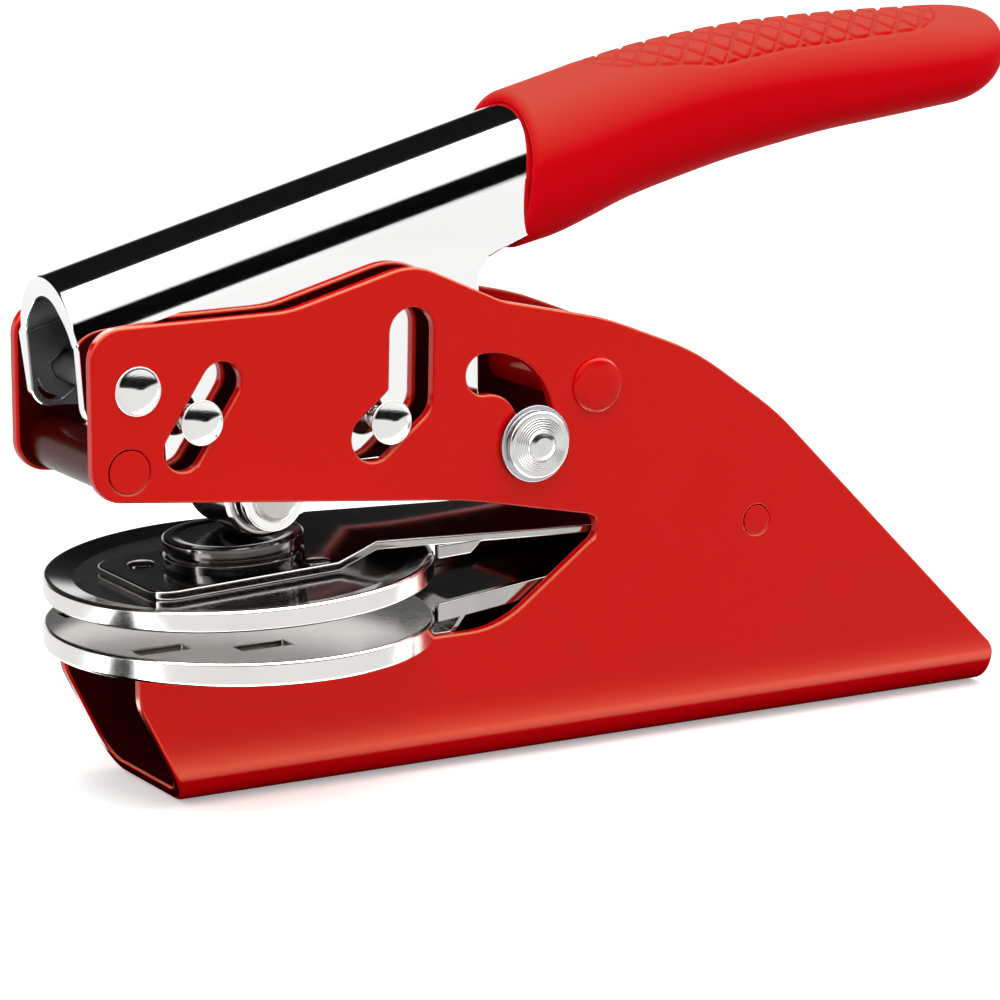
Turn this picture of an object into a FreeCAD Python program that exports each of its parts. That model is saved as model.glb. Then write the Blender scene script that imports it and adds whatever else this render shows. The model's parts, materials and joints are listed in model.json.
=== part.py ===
"""Hand-held seal embosser: a folded sheet frame, a lever guided by pins in slots, a roller that
presses a sprung upper die onto a fixed lower die, and a lock stud that holds the lever down.

Millimetres. +X points to the grip end, +Z up, and the plane y = 0 halves the object.
The origin lies on the surface that the base stands on, below the middle of the dies.
"""
import FreeCAD, Part
import math
import os
import re
import Sketcher

V = FreeCAD.Vector
Y_TURN = FreeCAD.Rotation(V(1, 0, 0), -90)     # turns a local +Z axis to +Y

SIZES = dict(
    # folded frame
    frame_width=25.0, sheet=1.8, bend_radius=5.2,
    nose_x=-26.0, nose_low_z=41.0, nose_top_z=62.7, nose_radius=4.2,
    dip_x=1.5, dip_z=62.8, dip_radius=16.0,
    hump_x=19.5, hump_z=67.5, hump_radius=9.0,
    saddle_x=32.5, saddle_z=61.5, saddle_radius=12.0,
    back_one_x=48.0, back_one_z=58.0, back_two_x=62.0, back_two_z=52.4,
    back_three_x=75.0, back_three_z=43.0, back_radius=40.0,
    tail_x=112.0, tail_z=5.7, tail_radius=3.0,
    foot_x=-13.2, chin_x=-20.1, chin_z=14.0, chin_radius=6.0, base_top_z=18.0,
    throat_low_x=32.0, throat_low_z=18.0, throat_low_radius=14.0,
    throat_tip_x=49.6, throat_tip_z=31.0, throat_tip_radius=2.0,
    jaw_x=27.0, jaw_z=35.7, jaw_radius=60.0,
    # what holds the two side plates together
    rivet_fit=0.03,
    front_tie_x=-21.0, front_tie_z=44.5, front_tie_radius=2.75, front_tie_shoulder=3.5,
    rear_tie_x=46.6, rear_tie_z=49.2, rear_tie_radius=2.0, rear_tie_shoulder=3.2,
    rear_head_radius=3.65, rear_head_height=0.9,
    pivot_x=-19.7, pivot_z=54.6, pivot_radius=2.0,
    head_radius=3.3, head_height=1.6, head_gap=0.08,
    washer_radius=4.3, washer_gap=0.08,
    # slots in the side plates
    front_slot_top_x=-8.1, front_slot_top_z=54.5,
    front_slot_low_x=-13.4, front_slot_low_z=46.5, front_slot_width=5.5,
    rear_slot_top_x=19.1, rear_slot_top_z=58.6, rear_slot_bend_x=18.9, rear_slot_bend_z=49.8,
    rear_slot_low_x=13.5, rear_slot_low_z=45.4, rear_slot_width=6.4,
    hook_x=30.3, hook_z=45.0, hook_radius=7.1, hook_width=5.4, hook_start=-21.5, hook_sweep=116.0,
    # lever
    swing_x=-28.0, swing_z=63.5,
    lever_gap=1.95, lever_wall=1.6, lever_pitch=14.9, lever_lip_x=-26.8, lever_ridge_z=68.4,
    lever_front_x=-25.2, lever_front_z=49.6, lever_front_radius=3.0,
    lever_step_x=-14.5, lever_low_z=41.8,
    ear_x=1.0, ear_radius=4.3, lever_heel_x=31.0, lever_heel_radius=5.0,
    lever_rear_z=66.2, lever_rear_radius=4.0, lever_tail_z=75.2, lever_end_x=54.0,
    front_pin_x=-11.0, front_pin_z=49.8, front_pin_radius=1.5,
    rear_pin_x=15.9, rear_pin_z=47.2, rear_pin_radius=1.3,
    arc_slot_lead=14.0, arc_slot_sweep=19.5, arc_slot_gap=0.35,
    tang_height=3.0, tang_start_x=44.0, tang_start_z=74.5,
    ridge_flat=0.05, cut_over=10.0,
    tang_bend_x=75.0, tang_bend_z=84.0, tang_end_x=106.0, tang_drop=7.4,
    # rubber grip
    grip_wall=1.75, grip_front_x=37.6, grip_front_z=69.3, grip_top_x=39.4, grip_top_z=87.6,
    grip_end_x=119.2, grip_end_top_z=93.4, grip_end_height=11.0, grip_chin_x=44.0, grip_chin_z=66.8,
    grip_back_curve=212.0, grip_belly_curve=280.0, grip_end_radius=5.2, grip_edge_radius=6.0,
    # roller
    roller_z=38.0, roller_radius=5.6, roller_gap=1.15, roller_chamfer=0.7,
    bush_radius=3.0, axle_radius=1.9, axle_fit=0.05, axle_head_radius=3.0, axle_head=0.8,
    # upper die, drawn level and then pitched
    die_radius=25.4, die_pitch=2.6, upper_top_z=28.25, upper_thickness=2.75, die_chamfer=0.3,
    dish_rim=0.8, dish_run=3.1, dish_depth=0.75,
    plate_rim=1.2, plate_fit=0.05, plate_thickness=1.1, lower_cap=1.1,
    arm_gap=0.3, arm_sheet=1.2, arm_nose_x=-16.5, arm_nose_radius=3.5,
    joggle_x=9.3, joggle_run=5.7, joggle_rise=1.9, arm_slope=4.95,
    disc_gap=1.5, flange_length=7.1, flange_foot=4.9, flange_depth=2.5,
    die_hinge_x=72.0, die_hinge_z=28.2, hinge_radius=2.0, knuckle_radius=3.3,
    knuckle_half=3.6, knuckle_gap=0.3, knuckle_reach=5.2,
    button_radius=9.2, button_base=1.55, button_top=2.0, button_groove=0.5, button_dish=0.15,
    button_rim=1.5, button_x=-0.6,
    arm_rivet_one_x=-11.6, arm_rivet_one_y=5.0, arm_rivet_two_x=7.3, arm_rivet_two_y=-8.2,
    arm_rivet_radius=1.8, arm_rivet_height=0.35,
    # lower die
    lower_top_z=21.05, lower_thickness=3.05,
    window_length=7.1, window_width=3.0, outer_window_x=-16.6, outer_window_y=11.45,
    inner_window_x=-4.55, inner_window_y=15.8,
    lower_arm_bend=0.2, lower_arm_joggle=2.4, wall_start_z=19.3,
    wall_rise=6.6, wall_height=2.5,
    # lock stud and its knobs
    stud_radius=1.9, stud_flange_radius=5.1, stud_flange=0.8, knob_radius=4.5, knob_length=1.9,
    knob_ring=0.45, knob_fit=0.05, stud_tip=0.25,
)

# Sizes that follow from the others, so that what fits together stays together.
DERIVED = dict(
    lever_width="frame_width - 2 * sheet - 2 * lever_gap",
    grip_width="lever_width + 2 * grip_wall",
    grip_end_low_z="grip_end_top_z - grip_end_height",
    tang_end_z="grip_end_top_z - tang_drop",
    roller_length="lever_width - 2 * lever_wall - 2 * roller_gap",
    dish_radius="die_radius - dish_rim",
    dish_floor="dish_radius - dish_run",
    plate_radius="die_radius - plate_rim",
    arm_width="frame_width - 2 * sheet - 2 * arm_gap",
    flange_start_x="die_radius - disc_gap",
    flange_low_x="flange_start_x + flange_foot",
    flange_end_x="flange_start_x + flange_length",
    lower_arm_bend_x="die_radius + lower_arm_bend",
    wall_start_x="die_radius - disc_gap",
)

doc = FreeCAD.newDocument("seal_embosser")
sheet = doc.addObject("Spreadsheet::Sheet", "dims")
for row, (alias, value) in enumerate({**SIZES, **DERIVED}.items(), 1):
    sheet.set(f"A{row}", alias)
    sheet.set(f"B{row}", f"={value}")
    sheet.setAlias(f"B{row}", alias)
doc.recompute()

NAMES = re.compile(r"[a-z][a-z_]*")


def cell(text):
    """The expression for a piece of arithmetic on names of the sheet."""
    return NAMES.sub(
        lambda m: "dims." + m.group() if m.group() in {**SIZES, **DERIVED} else m.group(), str(text))


def number(text):
    """The value of such an expression."""
    result = sheet.evalExpression(cell(text))
    return float(getattr(result, "Value", result))


def bind(item, **sizes):
    for name, text in sizes.items():
        item.setExpression(name, cell(text))
    return item


def place(item, at, rotation=None):
    """Put an object at a point whose coordinates follow the sheet."""
    item.Placement = FreeCAD.Placement(V(*[number(c) for c in at]), rotation or FreeCAD.Rotation())
    for axis, text in zip("xyz", at):
        item.setExpression(f"Placement.Base.{axis}", cell(text))
    return item


def make_body(name):
    return doc.addObject("PartDesign::Body", name)


def make_sketch(body, name, plane):
    sketch = body.newObject("Sketcher::SketchObject", name)
    origin = [part for part in body.Origin.OriginFeatures if part.Role == plane][0]
    sketch.AttachmentSupport = (origin, "")
    sketch.MapMode = "FlatFace"
    return sketch


def fix_point(sketch, line, end, corner):
    """Hold one end of a line at a corner given by two expressions."""
    for kind, text in zip(("DistanceX", "DistanceY"), corner):
        index = sketch.addConstraint(Sketcher.Constraint(kind, -1, 1, line, end, number(text)))
        sketch.setExpression(f"Constraints[{index}]", cell(text))


def arc_through(start, end, radius, side):
    """An arc from start to end with its centre on one side of the way, and if it runs backwards."""
    way = end - start
    normal = V(-way.y, way.x, 0).normalize() * side
    centre = (start + end) / 2 + normal * math.sqrt(radius ** 2 - (way.Length / 2) ** 2)
    backwards = (start - centre).cross(end - centre).z < 0
    first, last = (end, start) if backwards else (start, end)
    low, high = [math.atan2(spot.y - centre.y, spot.x - centre.x) for spot in (first, last)]
    return Part.ArcOfCircle(Part.Circle(centre, V(0, 0, 1), radius), low, high), backwards


def polygon(sketch, corners, arcs=None):
    """A closed outline through corners given as pairs of expressions. arcs turns the line after a
    corner into an arc, and holds its radius and on which side of the way its centre lies."""
    arcs = arcs or {}
    spots = [V(number(x), number(y), 0) for x, y in corners]
    ends = []
    for index, (start, end) in enumerate(zip(spots, spots[1:] + spots[:1])):
        backwards = False
        if index in arcs:
            radius, side = arcs[index]
            curve, backwards = arc_through(start, end, number(radius), side)
            sketch.addGeometry(curve, False)
            at = sketch.addConstraint(Sketcher.Constraint("Radius", index, number(radius)))
            sketch.setExpression(f"Constraints[{at}]", cell(radius))
        else:
            sketch.addGeometry(Part.LineSegment(start, end), False)
        ends.append((2, 1) if backwards else (1, 2))
    for index, corner in enumerate(corners):
        before = (index - 1) % len(corners)
        sketch.addConstraint(
            Sketcher.Constraint("Coincident", before, ends[before][1], index, ends[index][0]))
        fix_point(sketch, index, ends[index][0], corner)
    return sketch


def add_pad(body, sketch, length):
    pad = body.newObject("PartDesign::Pad", sketch.Name + "_pad")
    pad.Profile = sketch
    pad.Midplane = True
    bind(pad, Length=length)
    doc.recompute()
    return pad


def side_pad(name, corners, width):
    """A body padded both ways from y = 0 out of its side outline."""
    body = make_body(name)
    add_pad(body, polygon(make_sketch(body, name + "_side", "XZ_Plane"), corners), width)
    return body


def edges_where(body, test):
    """Names of the edges of a body whose middle and direction pass a test."""
    found = []
    for index, edge in enumerate(body.Tip.Shape.Edges, 1):
        first, last = edge.Vertexes[0].Point, edge.Vertexes[-1].Point
        if test(edge.CenterOfMass, (last - first)):
            found.append(f"Edge{index}")
    return found


def add_dressing(body, kind, size, names):
    """Round or bevel the named edges of a body."""
    if not names:
        raise RuntimeError(f"{body.Name}: no edge to dress with {size}")
    base = body.Tip
    feature = body.newObject("PartDesign::" + kind, f"{body.Name}_{kind.lower()}")
    feature.Base = (base, names)
    bind(feature, **{"Radius" if kind == "Fillet" else "Size": size})
    doc.recompute()
    return feature


def dress(body, kind, size, test):
    """Round or bevel the edges of a body that pass a test."""
    return add_dressing(body, kind, size, edges_where(body, test))


def cross_edge(corner):
    """A test for the edges that run along Y at a corner of a side outline."""
    x, z = [number(text) for text in corner]
    return lambda mid, run: abs(run.y) > 0.9 * run.Length and math.hypot(mid.x - x, mid.z - z) < 0.01


def round_corners(body, rounded):
    """Round corners of a side outline: a list of (corner, radius)."""
    for corner, radius in rounded:
        dress(body, "Fillet", radius, cross_edge(corner))


def turned(name, outline):
    """A body turned about its local Z out of (radius, height) pairs."""
    body = make_body(name)
    sketch = polygon(make_sketch(body, name + "_half", "XZ_Plane"), outline)
    spin = body.newObject("PartDesign::Revolution", name + "_turn")
    spin.Profile = sketch
    spin.ReferenceAxis = (sketch, ["V_Axis"])
    spin.Angle = 360
    doc.recompute()
    return body


def round_rim(body, radius, height, size):
    """Round the circular edges of a turned body that have this radius and height."""
    names = []
    for index, edge in enumerate(body.Tip.Shape.Edges, 1):
        curve = edge.Curve
        if isinstance(curve, Part.Circle) and abs(curve.Radius - number(radius)) < 0.01:
            if abs(curve.Center.z - number(height)) < 0.01:
                names.append(f"Edge{index}")
    return add_dressing(body, "Fillet", size, names)


def bar(name, radius, length, x, z, y="0"):
    """A round bar along Y, centred on y unless told otherwise."""
    item = bind(doc.addObject("Part::Cylinder", name), Radius=radius, Height=length)
    return place(item, (x, f"{y} - ({length}) / 2", z), Y_TURN)


def fuse(name, *items):
    item = doc.addObject("Part::MultiFuse", name)
    item.Shapes = list(items)
    return item


def cut(name, base, tool):
    item = doc.addObject("Part::Cut", name)
    item.Base = base
    item.Tool = tool
    return item


def slot_cutter(name, start, end, width, depth):
    """A straight slot with round ends, cut along Y right through."""
    run_x, run_z = f"({end[0]}) - ({start[0]})", f"({end[1]}) - ({start[1]})"
    length = f"sqrt(({run_x})^2 + ({run_z})^2)"
    tilt = math.degrees(math.atan2(number(run_z), number(run_x)))
    web = bind(doc.addObject("Part::Box", name + "_web"), Length=length, Width=depth, Height=width)
    turn = FreeCAD.Rotation(V(0, 1, 0), -tilt)
    down = turn.multVec(V(0, 0, -number(width) / 2))
    web.Placement = FreeCAD.Placement(V(number(start[0]), -number(depth) / 2, number(start[1])) + down, turn)
    ends = [bar(f"{name}_end_{i}", f"{width} / 2", depth, *spot) for i, spot in enumerate((start, end))]
    return fuse(name, web, *ends)


def arc_cutter(name, centre, radius, width, start, sweep, depth):
    """A slot bent round a centre, with round ends, cut along Y right through."""
    x, z = centre
    outer = bar(name + "_outer", f"{radius} + {width} / 2", depth, x, z)
    outer.Placement.Rotation = FreeCAD.Rotation(V(0, 1, 0), -number(start) - number(sweep)) * Y_TURN
    bind(outer, Angle=sweep)
    inner = bar(name + "_inner", f"{radius} - {width} / 2", depth, x, z)
    ring = cut(name + "_ring", outer, inner)
    ends = []
    for i, angle in enumerate((f"({start})", f"({start} + {sweep})")):
        spot = (f"{x} + {radius} * cos({angle} * 1deg)", f"{z} + {radius} * sin({angle} * 1deg)")
        ends.append(bar(f"{name}_end_{i}", f"{width} / 2", depth, *spot))
    return fuse(name, ring, *ends)


PARTS = {}


def keep(node, item, placement=None):
    """Name an object as a piece of the product."""
    item.Label = node
    if placement is not None:
        item.Placement = placement
    PARTS[node] = item
    return item


# ---------------------------------------------------------------- folded frame
INNER = "(frame_width / 2 - sheet)"
OUTER = "frame_width / 2"
THROUGH = "frame_width + 10"


def build_frame():
    """One sheet folded to a U: two C-shaped side plates and the round-cornered base."""
    corner = {name: (name + "_x", name + "_z") for name in (
        "dip", "hump", "saddle", "back_one", "back_two", "back_three", "tail",
        "throat_low", "throat_tip", "jaw")}
    nose_low = ("nose_x", "nose_low_z")
    nose_top = ("nose_x", "nose_top_z")
    chin = ("chin_x", "chin_z")
    body = side_pad("folded_sheet", [
        nose_low, nose_top, corner["dip"], corner["hump"], corner["saddle"], corner["back_one"],
        corner["back_two"], corner["back_three"], corner["tail"], ("tail_x", "0"), ("foot_x", "0"),
        chin, ("chin_x", "base_top_z"), corner["throat_low"], corner["throat_tip"], corner["jaw"],
    ], "frame_width")
    round_corners(body, [
        (nose_low, "nose_radius"), (nose_top, "nose_radius"), (corner["dip"], "dip_radius"),
        (corner["hump"], "hump_radius"), (corner["saddle"], "saddle_radius"),
        (corner["back_one"], "back_radius"), (corner["back_two"], "back_radius"),
        (corner["back_three"], "back_radius"), (corner["tail"], "tail_radius"),
        (chin, "chin_radius"), (corner["throat_low"], "throat_low_radius"),
        (corner["throat_tip"], "throat_tip_radius"), (corner["jaw"], "jaw_radius"),
    ])
    dress(body, "Fillet", "bend_radius",
          lambda mid, run: abs(run.x) > 0.9 * run.Length and abs(mid.z) < 0.01)
    channel = make_sketch(body, "channel_section", "YZ_Plane")
    polygon(channel, [(f"-{INNER}", "sheet"), (INNER, "sheet"), (INNER, "nose_top_z + hump_z"),
                      (f"-{INNER}", "nose_top_z + hump_z")])
    pocket = body.newObject("PartDesign::Pocket", "channel")
    pocket.Profile = channel
    pocket.Midplane = True
    bind(pocket, Length="4 * tail_x")
    doc.recompute()
    dress(body, "Fillet", "bend_radius - sheet",
          lambda mid, run: abs(run.x) > 0.9 * run.Length and abs(mid.z - number("sheet")) < 0.01
          and abs(abs(mid.y) - number(INNER)) < 0.01)
    front_slot = slot_cutter("front_slot", ("front_slot_top_x", "front_slot_top_z"),
                             ("front_slot_low_x", "front_slot_low_z"), "front_slot_width", THROUGH)
    bend = ("rear_slot_bend_x", "rear_slot_bend_z")
    rear_slot = slot_cutter("rear_slot", ("rear_slot_top_x", "rear_slot_top_z"), bend,
                            "rear_slot_width", THROUGH)
    rear_leg = slot_cutter("rear_slot_leg", bend, ("rear_slot_low_x", "rear_slot_low_z"),
                           "rear_slot_width", THROUGH)
    hook = arc_cutter("hook_slot", ("hook_x", "hook_z"), "hook_radius", "hook_width",
                      "hook_start", "hook_sweep", THROUGH)
    holes = [
        bar("pivot_hole", "pivot_radius + rivet_fit", THROUGH, "pivot_x", "pivot_z"),
        bar("front_tie_hole", "front_tie_radius + rivet_fit", THROUGH, "front_tie_x", "front_tie_z"),
        bar("rear_tie_hole", "rear_tie_radius + rivet_fit", THROUGH, "rear_tie_x", "rear_tie_z"),
        bar("die_hinge_hole", "hinge_radius + rivet_fit", THROUGH, "die_hinge_x", "die_hinge_z"),
    ]
    openings = fuse("frame_openings", front_slot, rear_slot, rear_leg, hook, *holes)
    keep("frame_body", cut("frame_cut", body, openings))


def head_outline(shank, shoulder, head, height, gap="0"):
    """Half section of a pin with a shoulder between the plates and a head outside each plate."""
    face = f"({OUTER} + {gap})"
    return [("0", f"-{face} - {height}"), (head, f"-{face} - {height}"), (head, f"-{face}"),
            (shank, f"-{face}"), (shank, f"-{shoulder[1]}"), (shoulder[0], f"-{shoulder[1]}"),
            (shoulder[0], shoulder[1]), (shank, shoulder[1]), (shank, face), (head, face),
            (head, f"{face} + {height}"), ("0", f"{face} + {height}")]


def build_ties():
    """The rivets that hold the two side plates at their distance."""
    shoulder = f"({INNER} - rivet_fit)"
    front = turned("front_tie_turned", [
        ("0", f"-{OUTER}"), ("front_tie_radius", f"-{OUTER}"), ("front_tie_radius", f"-{shoulder}"),
        ("front_tie_shoulder", f"-{shoulder}"), ("front_tie_shoulder", shoulder),
        ("front_tie_radius", shoulder), ("front_tie_radius", OUTER), ("0", OUTER)])
    keep("front_tie_rivet", place(front, ("front_tie_x", "0", "front_tie_z"), Y_TURN))
    rear = turned("rear_tie_turned", head_outline(
        "rear_tie_radius", ("rear_tie_shoulder", shoulder), "rear_head_radius", "rear_head_height"))
    for side in ("-", ""):
        round_rim(rear, "rear_head_radius", f"{side}({OUTER} + rear_head_height)",
                  "rear_head_height * 0.7")
    keep("rear_tie_rivet", place(rear, ("rear_tie_x", "0", "rear_tie_z"), Y_TURN))


def domed_pin(name, shank, x, z, gap="head_gap"):
    """A plain cross pin with a domed head outside each side plate."""
    face = f"({OUTER} + {gap})"
    top = f"{face} + head_height"
    body = turned(name + "_turned", [
        ("0", f"-{face} - head_height"), ("head_radius", f"-{face} - head_height"),
        ("head_radius", f"-{face}"), (shank, f"-{face}"), (shank, face), ("head_radius", face),
        ("head_radius", top), ("0", top)])
    for side in ("-", ""):
        round_rim(body, "head_radius", f"{side}({top})", "head_height * 0.85")
    keep(name, place(body, (x, "0", z), Y_TURN))


def build_pins():
    """The fixed front pin with its washers, and the two pins that guide the lever in the slots."""
    domed_pin("pivot_pin", "pivot_radius", "pivot_x", "pivot_z", "0")
    domed_pin("front_guide_pin", "front_pin_radius", "front_pin_x", "front_pin_z")
    domed_pin("rear_guide_pin", "rear_pin_radius", "rear_pin_x", "rear_pin_z")
    middle = f"(({INNER} + lever_width / 2 + washer_gap) / 2)"
    length = f"({INNER} - lever_width / 2 - washer_gap)"
    rings = []
    for side, sign in (("near", "-"), ("far", "")):
        disc = bar(f"washer_{side}_disc", "washer_radius", length, "pivot_x", "pivot_z", sign + middle)
        bore = bar(f"washer_{side}_bore", "pivot_radius + rivet_fit", THROUGH, "pivot_x", "pivot_z")
        rings.append(cut(f"washer_{side}", disc, bore))
    keep("pivot_washers", fuse("washer_pair", *rings))


# ---------------------------------------------------------------- lever
RISE = "tan(lever_pitch * 1deg)"
RIDGE_END_Z = f"lever_ridge_z + (lever_end_x - lever_lip_x) * {RISE}"


def lever_solid(name, corners, width, ridge_radius):
    """A side outline padded to a width, with its straight top edges rounded to an arch."""
    body = side_pad(name, corners, width)
    slope = math.radians(number("lever_pitch"))
    half = number(width) / 2

    def on_ridge(mid, run):
        along = abs(run.x * math.cos(slope) + run.z * math.sin(slope)) > 0.999 * run.Length
        return along and abs(abs(mid.y) - half) < 0.01 and run.Length > number("lever_width")
    dress(body, "Fillet", ridge_radius, on_ridge)
    return body


def build_lever():
    """The bright channel: an arched sheet whose deep walls go down between the side plates."""
    ear_low = "(roller_z - ear_radius)"
    front, step, heel = ("lever_front_x", "lever_front_z"), ("lever_step_x", "lever_low_z"), (
        "lever_heel_x", "lever_low_z")
    armpit = ("lever_heel_x", "lever_rear_z")
    skin = lever_solid("lever_skin", [
        front, ("lever_lip_x", "lever_ridge_z"), ("lever_end_x", RIDGE_END_Z),
        ("lever_end_x", "lever_tail_z"), armpit, heel, step, ("lever_step_x", "lever_front_z")],
        "lever_width", "lever_width / 2 - ridge_flat")
    round_corners(skin, [(front, "lever_front_radius"), (heel, "lever_heel_radius"),
                         (armpit, "lever_rear_radius"), (step, "lever_front_radius")])
    drop = "lever_wall / cos(lever_pitch * 1deg)"
    hollow = lever_solid("lever_hollow", [
        ("lever_lip_x - cut_over", f"{ear_low} - cut_over"),
        ("lever_lip_x - cut_over", f"lever_ridge_z - cut_over * {RISE} - {drop}"),
        ("lever_end_x + cut_over", f"{RIDGE_END_Z} + cut_over * {RISE} - {drop}"),
        ("lever_end_x + cut_over", f"{ear_low} - cut_over")],
        "lever_width - 2 * lever_wall", "lever_width / 2 - lever_wall - ridge_flat")
    ear = bar("ear_boss", "ear_radius", "lever_width", "ear_x", "roller_z")
    ear_web = bind(doc.addObject("Part::Box", "ear_web"), Length="2 * ear_radius",
                   Width="lever_width", Height="lever_low_z - roller_z + 1")
    place(ear_web, ("ear_x - ear_radius", "-lever_width / 2", "roller_z"))
    holes = [
        bar("lever_front_hole", "front_pin_radius", THROUGH, "front_pin_x", "front_pin_z"),
        bar("lever_rear_hole", "rear_pin_radius", THROUGH, "rear_pin_x", "rear_pin_z"),
        bar("lever_axle_hole", "axle_radius", THROUGH, "ear_x", "roller_z"),
    ]
    reach = "sqrt((pivot_x - swing_x)^2 + (pivot_z - swing_z)^2)"
    rest = math.degrees(math.atan2(number("pivot_z - swing_z"), number("pivot_x - swing_x")))
    pivot_slot = arc_cutter("pivot_slot", ("swing_x", "swing_z"), reach,
                            "2 * (pivot_radius + arc_slot_gap)", f"{rest} - arc_slot_lead",
                            "arc_slot_sweep", THROUGH)
    solid = fuse("lever_outer", skin, ear, ear_web)
    space = fuse("lever_space", hollow, pivot_slot, *holes)
    keep("handle_channel", cut("lever_cut", solid, space))
    return skin


def build_tang():
    """The flat bar between the channel's walls that carries the grip behind the channel's end."""
    low = [("tang_start_x", "tang_start_z"), ("tang_bend_x", "tang_bend_z"),
           ("tang_end_x", "tang_end_z")]
    high = [(x, f"{z} + tang_height") for x, z in reversed(low)]
    body = side_pad("tang_bar", low + high, "lever_width - 2 * lever_wall")
    keep("handle_tang", body)
    return body


def build_grip(skin, tang):
    """The rubber sleeve pushed over the lever's end."""
    body = make_body("grip_sleeve")
    sketch = make_sketch(body, "grip_side", "XZ_Plane")
    top_end, low_end = ("grip_end_x", "grip_end_top_z"), ("grip_end_x", "grip_end_low_z")
    corners = [("grip_front_x", "grip_front_z"), ("grip_top_x", "grip_top_z"), top_end, low_end,
               ("grip_chin_x", "grip_chin_z")]
    arcs = {1: ("grip_back_curve", -1), 3: ("grip_belly_curve", 1)}
    add_pad(body, polygon(sketch, corners, arcs), "grip_width")
    round_corners(body, [(top_end, "grip_end_radius"), (low_end, "grip_end_radius")])
    dress(body, "Fillet", "grip_edge_radius",
          lambda mid, run: abs(abs(mid.y) - number("grip_width / 2")) < 0.01
          and mid.x > number("grip_chin_x"))
    socket = fuse("grip_socket", skin, tang)
    keep("handle_grip", cut("grip_cut", body, socket))


def build_roller():
    """The roller on its axle between the lever's ears."""
    half = "(roller_length / 2)"
    face = "roller_radius - roller_chamfer"
    sleeve = turned("roller_sleeve", [
        ("bush_radius", f"-{half}"), (face, f"-{half}"), ("roller_radius", f"-{half} + roller_chamfer"),
        ("roller_radius", f"{half} - roller_chamfer"), (face, half), ("bush_radius", half)])
    keep("roller", place(sleeve, ("ear_x", "0", "roller_z"), Y_TURN))
    bush = cut("bush_ring",
               bar("bush_disc", "bush_radius", "roller_length", "ear_x", "roller_z"),
               bar("bush_bore", "axle_radius + axle_fit", THROUGH, "ear_x", "roller_z"))
    keep("roller_bush", bush)
    wall = "(lever_width / 2)"
    axle = turned("axle_turned", [
        ("0", f"-{wall} - axle_head"), ("axle_head_radius", f"-{wall} - axle_head"),
        ("axle_head_radius", f"-{wall}"), ("axle_radius", f"-{wall}"), ("axle_radius", wall),
        ("axle_head_radius", wall), ("axle_head_radius", f"{wall} + axle_head"),
        ("0", f"{wall} + axle_head")])
    keep("roller_axle", place(axle, ("ear_x", "0", "roller_z"), Y_TURN))


# ---------------------------------------------------------------- upper die
UPPER_DROP = "(plate_thickness - upper_thickness)"
ARM_TOP = "(arm_sheet - dish_depth)"
ARM_DROP = "* tan(arm_slope * 1deg)"


def pitched():
    """Where the level drawing of the upper die lies: its top at the origin, then pitched."""
    turn = FreeCAD.Rotation(V(0, 1, 0), -number("die_pitch"))
    return FreeCAD.Placement(V(0, 0, number("upper_top_z")), turn)


def hinge_block(name, low, high):
    """The space round the hinge pin between two distances from y = 0, on one side."""
    item = doc.addObject("Part::Box", name)
    bind(item, Length="2 * knuckle_reach", Width=f"({high}) - ({low})", Height="4 * knuckle_radius")
    return place(item, ("die_hinge_x - knuckle_reach", low, "die_hinge_z - 2 * knuckle_radius"))


def hinge_bar(name, radius, length):
    return bar(name, radius, length, "die_hinge_x", "die_hinge_z")


def build_upper_arm():
    """The upper strap: platform in the disc's dish, joggle, sloping tail and the middle hinge eye."""
    top_x, top_z = "joggle_x + joggle_run", f"{ARM_TOP} + joggle_rise"
    tail_z = f"{top_z} - (die_hinge_x - joggle_x - joggle_run) {ARM_DROP}"
    strap = side_pad("upper_strap", [
        ("arm_nose_x", "-dish_depth"), ("joggle_x", "-dish_depth"), (top_x, f"{top_z} - arm_sheet"),
        ("die_hinge_x", f"{tail_z} - arm_sheet"), ("die_hinge_x", tail_z),
        (top_x, top_z), ("joggle_x", ARM_TOP), ("arm_nose_x", ARM_TOP)], "arm_width")
    dress(strap, "Fillet", "arm_nose_radius",
          lambda mid, run: abs(run.z) > 0.9 * run.Length and abs(mid.x - number("arm_nose_x")) < 0.01)
    flange_top, flange_low = [
        f"{top_z} - (flange_end_x - joggle_x - joggle_run) {ARM_DROP} - {depth}"
        for depth in ("arm_sheet / 2", "flange_depth")]
    lips = side_pad("strap_lips", [
        ("flange_start_x", flange_low), ("flange_low_x", flange_low), ("flange_end_x", flange_top),
        ("flange_start_x", flange_top)], "arm_width")
    between = side_pad("strap_lip_room", [
        ("flange_start_x - 1", f"{flange_low} - 1"), ("flange_end_x + 1", f"{flange_low} - 1"),
        ("flange_end_x + 1", f"{flange_top} + 1"), ("flange_start_x - 1", f"{flange_top} + 1")],
        "arm_width - 2 * arm_sheet")
    level = fuse("upper_strap_level", strap, cut("strap_lip_pair", lips, between))
    level.Placement = pitched()
    eye = hinge_bar("upper_eye", "knuckle_radius", "2 * knuckle_half")
    room = fuse("upper_arm_room", hinge_bar("upper_eye_bore", "hinge_radius + axle_fit", THROUGH),
                hinge_block("upper_room_far", "knuckle_half", OUTER),
                hinge_block("upper_room_near", f"-({OUTER})", "-knuckle_half"))
    keep("upper_arm", cut("upper_arm_cut", fuse("upper_arm_all", level, eye), room))


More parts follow.
